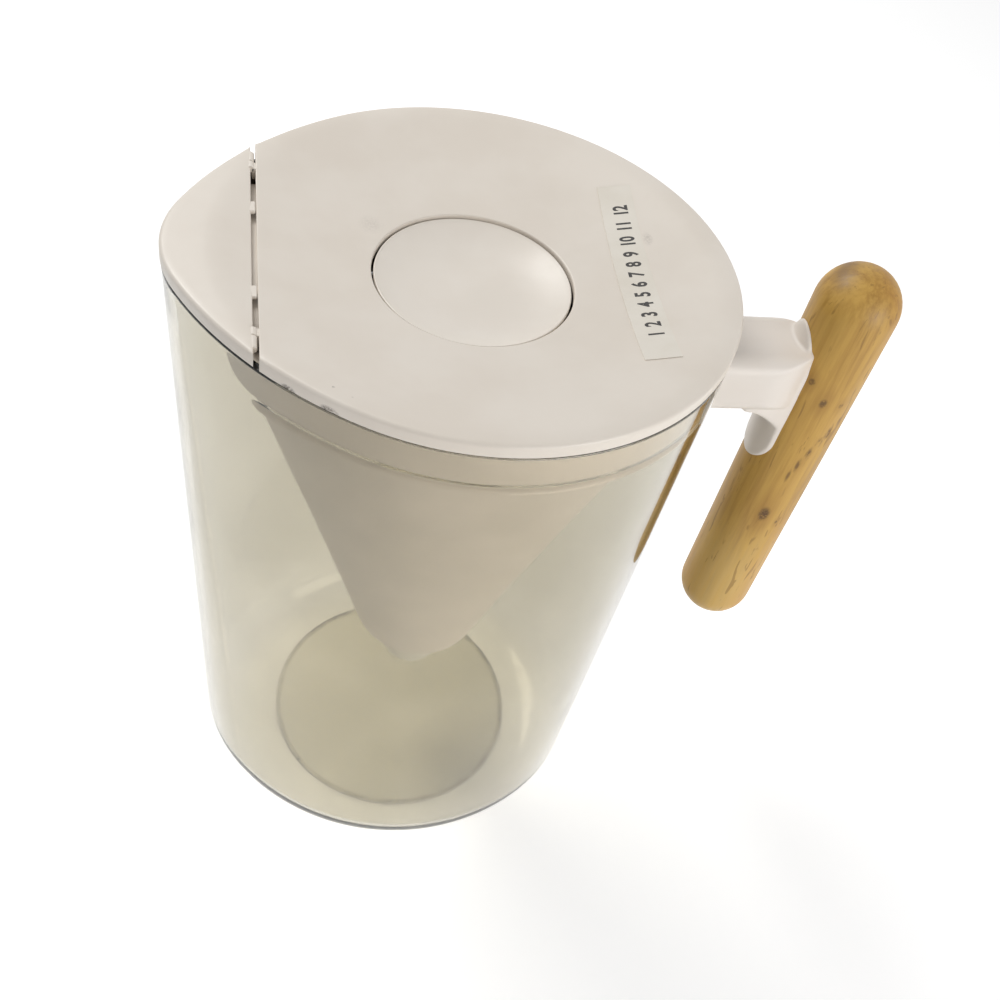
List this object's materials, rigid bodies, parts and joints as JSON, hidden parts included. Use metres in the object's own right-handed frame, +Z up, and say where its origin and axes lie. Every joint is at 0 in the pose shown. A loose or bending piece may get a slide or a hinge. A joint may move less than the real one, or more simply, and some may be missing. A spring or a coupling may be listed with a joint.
{
  "type": "water filter pitcher",
  "caption": "Clear water filter pitcher with a teardrop plan, dished white flip lid, tilting fill door, lift-out funnel tank with cartridge, and a round wooden handle on a white arm.",
  "frame": {"origin": "centre of the foot pad's underside, on the surface the pitcher stands on", "axes": "+Z up, +X towards the handle, -X towards the spout, symmetric about the plane Y = 0"},
  "size_m": [0.229, 0.1538, 0.247],
  "materials": {
    "clear_plastic": "clear glossy plastic with a slight grey olive tint",
    "foot_pad": "clear soft rubber",
    "arm_plastic": "satin white",
    "grey_rubber": "matte",
    "steel": "satin",
    "brass": "satin",
    "wood": "oiled oak with knots",
    "tank_plastic": "milky satin plastic",
    "cartridge_plastic": "satin",
    "granules": "loose dark granules",
    "mesh": "fine woven screen",
    "lid_plastic": "satin warm white",
    "door_plastic": "satin warm white",
    "tape": "pale satin tape"
  },
  "bodies": {
    "jug": {"pitcher_body": "clear_plastic", "base_pad": "foot_pad", "handle_bracket": "arm_plastic", "bracket_gasket": "grey_rubber", "bracket_bolts": "steel", "bolt_seals": "grey_rubber", "handle_grip": "wood", "grip_inserts": "brass"},
    "tank": {"reservoir": "tank_plastic"},
    "cartridge": {"filter_shell": "cartridge_plastic", "filter_cap": "cartridge_plastic", "filter_carbon": "granules", "filter_mesh_top": "mesh", "filter_mesh_bottom": "mesh", "filter_seal": "grey_rubber"},
    "lid": {"lid_plate": "lid_plastic", "lid_underplate": "lid_plastic", "label_strip": "tape", "flap_hinge_pins": "steel", "door_pivot_pins": "steel"},
    "flap": {"spout_flap": "lid_plastic"},
    "door": {"fill_door": "door_plastic", "door_counterweight": "steel"}
  },
  "joints": [
    {"name": "tank_lift", "type": "slide", "parent": "jug", "child": "tank", "axis": [0, 0, 1], "range_m": [0, 0.165]},
    {"name": "lid_lift", "type": "slide", "parent": "tank", "child": "lid", "axis": [0, 0, 1], "range_m": [0, 0.12]},
    {"name": "cartridge_lift", "type": "slide", "parent": "tank", "child": "cartridge", "axis": [0, 0, 1], "range_m": [0, 0.05]},
    {"name": "flap_hinge", "type": "hinge", "parent": "lid", "child": "flap", "pos_m": [-0.06329, 0, 0.2459], "axis": [0, 1, 0], "range_deg": [0, 85]},
    {"name": "door_hinge", "type": "hinge", "parent": "lid", "child": "door", "pos_m": [0.0007, 0.0049, 0.2331], "axis": [1, 0, 0], "range_deg": [0, 50]}
  ]
}
